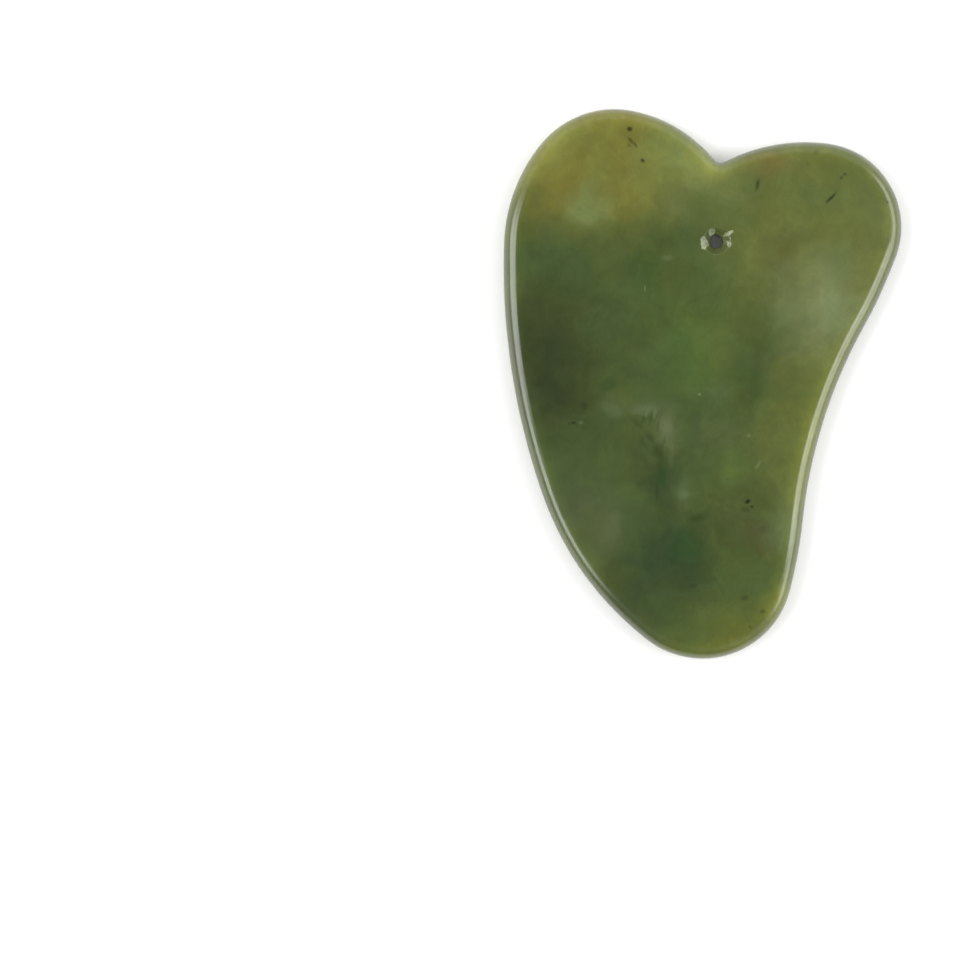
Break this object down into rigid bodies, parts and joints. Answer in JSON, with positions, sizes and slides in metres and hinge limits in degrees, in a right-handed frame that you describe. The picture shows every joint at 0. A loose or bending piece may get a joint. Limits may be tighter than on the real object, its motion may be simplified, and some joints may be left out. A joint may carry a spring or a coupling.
{
  "type": "gua sha scraper",
  "caption": "Flat heart-shaped massage board of polished green jade, with a half-round rim, two unequal lobes, a notch, a long tail and a small hanging hole.",
  "frame": {"origin": "middle of the outline's box, on the back face that the board lies on", "axes": "+Z out of the front face, +Y from the tail towards the notched end, +X towards the small lobe"},
  "size_m": [0.0696, 0.0962, 0.0055],
  "materials": {
    "jade": "polished"
  },
  "bodies": {
    "root": {"jade_board": "jade"}
  },
  "joints": []
}
